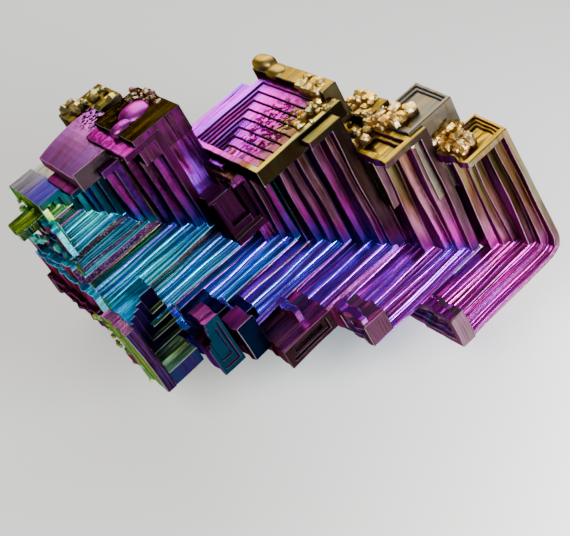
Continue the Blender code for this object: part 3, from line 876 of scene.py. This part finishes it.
def coated_object(name, chosen):
    """The chosen faces as one object, with what the oxide needs to know at every corner."""
    used, numbers = np.unique(quads[chosen], return_inverse=True)
    thing = mesh_object(name, placed[used], numbers.reshape(-1, 4), lobe[chosen])
    for key, value in coat.items():
        made = thing.data.attributes.new(key, "FLOAT", "CORNER")
        made.data.foreach_set("value", value[chosen].astype(np.float32).ravel())
    made = thing.data.attributes.new("lay", "FLOAT_VECTOR", "CORNER")
    made.data.foreach_set("vector", lay[chosen].astype(np.float32).ravel())
    print(name, len(used), "points,", int(chosen.sum()), "faces")
    return thing


# The third number keeps faces that look along different axes apart in the noise.
APART = 40.0
apart = np.broadcast_to((np.abs(looks) * APART)[:, None], along.shape)
lay = np.stack([across, along, apart], axis=-1)
GROUPS = {
    # piece: (first owner, last owner)
    "corner_1": (1, 1),
    "corners_2_3": (2, 3),
    "corners_4_5": (4, 5),
    "corners_6_7": (6, 7),
    "corners_8_10": (8, 10),
    "single_crystals": (FIRST_CRYSTAL, CRUMB_OWNER - 1),
    "crumbs_and_lobes": (CRUMB_OWNER, LOBE_OWNER),
}
pieces = [coated_object(name, (owners >= first) & (owners <= last))
          for name, (first, last) in GROUPS.items()]

# %% [markdown]
# ## The oxide's finish
# Oxide on bismuth looks like coloured metal, so the material is one metallic Principled BSDF.
# A colour ramp turns the film's thickness into its colour.  Fine noise, stretched along the
# layers, shifts the film, lightens and darkens it, and bumps the surface, so lines, colours
# and highlights belong together.  Light and shade, glints and edge highlights are also painted
# into the colour.

# %% The film's colours
FILM_COLOURS = [
    (0.00, (0.72, 0.69, 0.66)), (0.08, (0.79, 0.68, 0.38)), (0.17, (0.80, 0.46, 0.03)),
    (0.25, (0.36, 0.33, 0.12)), (0.33, (0.24, 0.10, 0.05)), (0.42, (0.47, 0.18, 0.28)),
    (0.50, (0.78, 0.02, 0.58)), (0.58, (0.36, 0.04, 1.00)), (0.66, (0.13, 0.04, 0.80)),
    (0.74, (0.01, 0.33, 1.00)), (0.82, (0.00, 0.64, 1.00)), (0.90, (0.02, 0.66, 0.52)),
    (1.00, (0.42, 0.58, 0.06)),
]
BARE_METAL = (0.62, 0.55, 0.60, 1.0)
# Colours of the painted highlights: sparkles, bright lines along the layers, and edges.
PAINTED_SPARKLE = (0.70, 0.86, 1.0, 1.0)
PAINTED_LINE_HIGHLIGHT, LINE_TINT = (0.85, 0.90, 1.0, 1.0), 0.80   # a colour, and the film's share in it
PAINTED_EDGE_HIGHLIGHT, EDGE_TINT = (0.92, 0.85, 0.95, 1.0), 0.45
GRIT_SHEEN, GRIT_DARKNESS = (0.02, 0.02, 0.02, 1.0), 0.97
print(len(FILM_COLOURS), "colours from bare metal to the thickest film")


# %% Short names for shader nodes
def plug(tree, value, socket):
    """Links a socket into another, or sets it to a number or a colour."""
    if isinstance(value, bpy.types.NodeSocket):
        tree.links.new(value, socket)
    else:
        socket.default_value = value


def node(tree, kind, inputs, **settings):
    """A new node with its settings, and a value or a link for each named input."""
    made = tree.nodes.new(kind)
    for key, value in settings.items():
        setattr(made, key, value)
    for key, value in inputs.items():
        plug(tree, value, made.inputs[key])
    return made


def calculate(tree, operation, first, second):
    return node(tree, "ShaderNodeMath", {0: first, 1: second}, operation=operation).outputs[0]


def attribute(tree, name, output="Fac"):
    return node(tree, "ShaderNodeAttribute", {}, attribute_name=name).outputs[output]


def mix_colour(tree, factor, first, second, blend="MIX"):
    """A Mix node for colours.  Its colour inputs are numbers 6 and 7, its colour output 2."""
    inputs = {0: factor, 6: first, 7: second}
    return node(tree, "ShaderNodeMix", inputs, data_type="RGBA", blend_type=blend).outputs[2]


def noise(tree, vector, scale, detail, roughness):
    inputs = {"Vector": vector, "Scale": scale, "Detail": detail, "Roughness": roughness}
    return node(tree, "ShaderNodeTexNoise", inputs).outputs["Fac"]


def spread(tree, value, low, high, low_out, high_out):
    """Turns the range from low to high into the one from low_out to high_out, and stays in it."""
    inputs = {"Value": value, "From Min": low, "From Max": high, "To Min": low_out, "To Max": high_out}
    return node(tree, "ShaderNodeMapRange", inputs).outputs["Result"]


# %% Growth lines and grains
def line_noise(tree, stretch, detail, roughness):
    """Noise on the lay attribute, close across the growth lines and drawn out along them."""
    inputs = {"Vector": attribute(tree, "lay", "Vector"), "Scale": stretch}
    stretched = node(tree, "ShaderNodeMapping", inputs).outputs["Vector"]
    return noise(tree, stretched, 1.0, detail, roughness)


def grains(tree, scale, detail, roughness, *limits):
    """Small grains on the object's own coordinates, as a mask between two limits."""
    place = node(tree, "ShaderNodeTexCoord", {}).outputs["Object"]
    return spread(tree, noise(tree, place, scale, detail, roughness), *limits)


def film_colour(tree, film):
    """The film's thickness as its colour."""
    ramp = node(tree, "ShaderNodeValToRGB", {"Fac": film})
    while len(ramp.color_ramp.elements) < len(FILM_COLOURS):
        ramp.color_ramp.elements.new(0.5)
    for element, (place, colour) in zip(ramp.color_ramp.elements, FILM_COLOURS):
        element.position = place
        element.color = (*colour, 1.0)
    return ramp.outputs["Color"]


# %% The oxide
FINE_LINES = ((0.55, 0.018, 1.0), 4.0, 0.65)     # stretch, detail and roughness of the noise
BROAD_LINES = ((0.10, 0.015, 1.0), 2.0, 0.5)
FILM_SHIFT, GLINT_SHIFT, FILM_DRIFT = 0.40, 0.75, 0.16   # how far noise shifts the film
LINE_LIGHT = (0.38, 0.60, 0.05, 1.4)             # from, to, light there
# Bright lines: the fine lines' range that gets a painted highlight, and its share there.
LINE_GLINT = (0.53, 0.63, 0.0, 0.85)
# scale, detail and roughness of the noise, then from, to, and the mask there
GRIT_GRAINS = (2600.0, 3.0, 0.7, 0.49, 0.53, 1.0, 0.0)
# The grains that get painted sparkles, in the same columns.
SPARKLE_GRAINS = (7500.0, 2.0, 0.6, 0.54, 0.61, 0.0, 1.0)
# How sharp and how strong the painted edge highlight is.
EDGE_SHARPNESS, EDGE_HIGHLIGHT_STRENGTH = 2.0, 0.6
UNLIT_SHEEN = 0.6                                # how much of the sheen is the unlit colour
BUMP, BUMP_HEIGHT = 0.5, 0.06e-3
GLOSSY, MATT, LINE_GLOSS = 0.28, 0.52, 0.14      # roughness, and how much lines take off it


def oxide():
    """Colour: the film's, paler where bare, times painted light and shade, then painted sparkles,
    bright lines and edge highlights.  Sheen at a glancing angle: between that colour and the
    unlit one, black on grit."""
    finish = bpy.data.materials.new("oxide")
    finish.use_nodes = True
    tree = finish.node_tree
    shader = tree.nodes["Principled BSDF"]
    # How much painted glint a face has; it also shifts the film more.
    glint = attribute(tree, "glint")
    strength = attribute(tree, "layers")

    # lines: fine ones about 0, as strong as the face asks, and broad ones from 0 to 1
    fine = calculate(tree, "SUBTRACT", line_noise(tree, *FINE_LINES), 0.5)
    fine = calculate(tree, "MULTIPLY", fine, strength)
    fine_level = calculate(tree, "ADD", fine, 0.5)
    broad = line_noise(tree, *BROAD_LINES)

    # film: glinting faces shift their colour more from line to line
    turn = calculate(tree, "ADD", calculate(tree, "MULTIPLY", glint, GLINT_SHIFT), FILM_SHIFT)
    shift = calculate(tree, "MULTIPLY", fine, turn)
    drift = calculate(tree, "MULTIPLY", calculate(tree, "SUBTRACT", broad, 0.5), FILM_DRIFT)
    thickness = calculate(tree, "ADD", attribute(tree, "film"), calculate(tree, "ADD", shift, drift))
    colour = film_colour(tree, thickness)
    unlit = mix_colour(tree, attribute(tree, "bare"), colour, BARE_METAL)

    # painted light and shade, and dark grit
    grit = calculate(tree, "MULTIPLY", attribute(tree, "grit"), grains(tree, *GRIT_GRAINS))
    clear = calculate(tree, "SUBTRACT", 1.0, calculate(tree, "MULTIPLY", grit, GRIT_DARKNESS))
    line_light = spread(tree, fine_level, *LINE_LIGHT)
    light = calculate(tree, "MULTIPLY", attribute(tree, "light"), line_light)
    light = calculate(tree, "MULTIPLY", light, clear)
    grey = node(tree, "ShaderNodeCombineColor", {0: light, 1: light, 2: light}).outputs["Color"]
    lit = mix_colour(tree, 1.0, unlit, grey, "MULTIPLY")

    # painted highlights: sparkles, bright lines and edges
    sparkle = calculate(tree, "MULTIPLY", grains(tree, *SPARKLE_GRAINS), glint)
    lit = mix_colour(tree, sparkle, lit, PAINTED_SPARKLE)
    line = calculate(tree, "MULTIPLY", spread(tree, fine_level, *LINE_GLINT), glint)
    lit = mix_colour(tree, line, lit, mix_colour(tree, LINE_TINT, PAINTED_LINE_HIGHLIGHT, colour))
    edge = calculate(tree, "POWER", attribute(tree, "edge"), EDGE_SHARPNESS)
    edge = calculate(tree, "MULTIPLY", edge, EDGE_HIGHLIGHT_STRENGTH)
    lit = mix_colour(tree, edge, lit, mix_colour(tree, EDGE_TINT, PAINTED_EDGE_HIGHLIGHT, colour))
    plug(tree, lit, shader.inputs["Base Color"])
    sheen = mix_colour(tree, UNLIT_SHEEN, lit, unlit)
    plug(tree, mix_colour(tree, grit, sheen, GRIT_SHEEN), shader.inputs["Specular Tint"])

    # relief and gloss: strong lines are a little smoother
    bump = node(tree, "ShaderNodeBump", {"Strength": BUMP, "Distance": BUMP_HEIGHT, "Height": fine})
    plug(tree, bump.outputs["Normal"], shader.inputs["Normal"])
    roughness = calculate(tree, "SUBTRACT", spread(tree, broad, 0.0, 1.0, GLOSSY, MATT),
                          calculate(tree, "MULTIPLY", strength, LINE_GLOSS))
    plug(tree, roughness, shader.inputs["Roughness"])
    plug(tree, 1.0, shader.inputs["Metallic"])
    print("nodes in the oxide:", len(tree.nodes))
    return finish


# %% Coat the pieces and join them to the part
oxide_finish = oxide()
for piece in pieces:
    piece.data.materials.append(oxide_finish)
    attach(piece, "root")
    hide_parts("bismuth_crystal")
print(len(pieces), "pieces on the part")

# %% [markdown]
# ## The floor
# The crystal stands on a plain pale sheet of paper, far larger than itself.  A single face is
# enough for it, and it belongs to the stage and not to the part.

# %% Floor
HALF_WIDTH = 1.2
corners = [(x * HALF_WIDTH, y * HALF_WIDTH, 0) for x, y in ((-1, -1), (1, -1), (1, 1), (-1, 1))]
floor_mesh = bpy.data.meshes.new("floor")
floor_mesh.from_pydata(corners, [], [(0, 1, 2, 3)])
floor = bpy.data.objects.new("floor", floor_mesh)
bpy.context.scene.collection.objects.link(floor)
paper = bpy.data.materials.new("paper")
paper.use_nodes = True
paper.node_tree.nodes["Principled BSDF"].inputs["Base Color"].default_value = (0.62, 0.61, 0.60, 1)
paper.node_tree.nodes["Principled BSDF"].inputs["Roughness"].default_value = 0.8
floor_mesh.materials.append(paper)
floor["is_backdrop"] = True

# %% [markdown]
# ## The camera
# The camera looks at the terraced face from between c and p, so that treads, walls and tops
# all show.  Its place and its three directions are given in the crystal frame too, so it would
# follow if the crystal were turned another way on the table.

# %% Camera
CAMERA_AXES = np.array([  # columns: the camera's right, up and backward directions
    (-0.4217, 0.6884, 0.5901),
    (-0.7178, -0.6511, 0.2466),
    (0.5540, -0.3196, 0.7687),
])
DISTANCE = 1145.0         # from the crystal, in layers
EYE = (-281.0, -22.0, DISTANCE)  # along the camera's own three directions
VIEW_WIDTH = 570.0        # what the picture's width takes in at that distance, in layers
SENSOR = 36.0

eye = TURN @ Vector(CAMERA_AXES @ np.array(EYE))
camera_data = bpy.data.cameras.new("camera")
camera_data.sensor_width = SENSOR
camera_data.lens = SENSOR * DISTANCE / VIEW_WIDTH
camera_data.clip_start, camera_data.clip_end = 0.005, 5.0
camera = bpy.data.objects.new("camera", camera_data)
bpy.context.scene.collection.objects.link(camera)
place = (eye + Vector((-middle[0], -middle[1], REST_HEIGHT))) * LAYER
camera.matrix_world = Matrix.Translation(place) @ (TURN @ Matrix(CAMERA_AXES.tolist())).to_4x4()
bpy.context.scene.camera = camera
print("camera at, mm:", [round(1000 * x, 1) for x in camera.location])

# %% [markdown]
# ## The light
# Metal shows what it reflects, so each panel is placed where some of the faces mirror it.  The
# tops mirror the large panel at the back, and the treads mirror a spot of floor that the small
# bounce panel lights.  Key and fill soften the rest.

# %% Panels and dim air
def panel(name, place, size, strength, colour, aim=(0.0, 0.0, 0.0)):
    """A square panel of soft light that faces the crystal, or the spot that aim gives."""
    light = bpy.data.lights.new(name, "AREA")
    light.shape = "SQUARE"
    light.size, light.energy, light.color = size, strength, colour
    thing = bpy.data.objects.new(name, light)
    thing.location = place
    thing.rotation_mode = "QUATERNION"
    thing.rotation_quaternion = (Vector(aim) - Vector(place)).to_track_quat("-Z", "Y")
    bpy.context.scene.collection.objects.link(thing)
    print(name, "panel:", strength, "W")


panel("key", (-0.12, -0.12, 0.24), 0.14, 0.9, (1.0, 0.98, 0.95))
panel("fill", (0.22, -0.16, 0.12), 0.12, 0.5, (0.95, 0.97, 1.0))
panel("back", (-0.04, 0.30, 0.14), 0.28, 1.9, (1.0, 1.0, 1.0))
panel("bounce", (0.058, -0.040, 0.035), 0.04, 0.24, (1.0, 1.0, 1.0), aim=(0.056, -0.040, 0.0))
world = bpy.data.worlds.new("studio")
world.use_nodes = True
world.node_tree.nodes["Background"].inputs["Color"].default_value = (0.10, 0.10, 0.11, 1)
world.node_tree.nodes["Background"].inputs["Strength"].default_value = 0.6
bpy.context.scene.world = world

# %% [markdown]
# ## The crystal's size
# The finished crystal's box is measured, over every shown object but the floor.

# %% Measure the crystal's box
low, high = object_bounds()
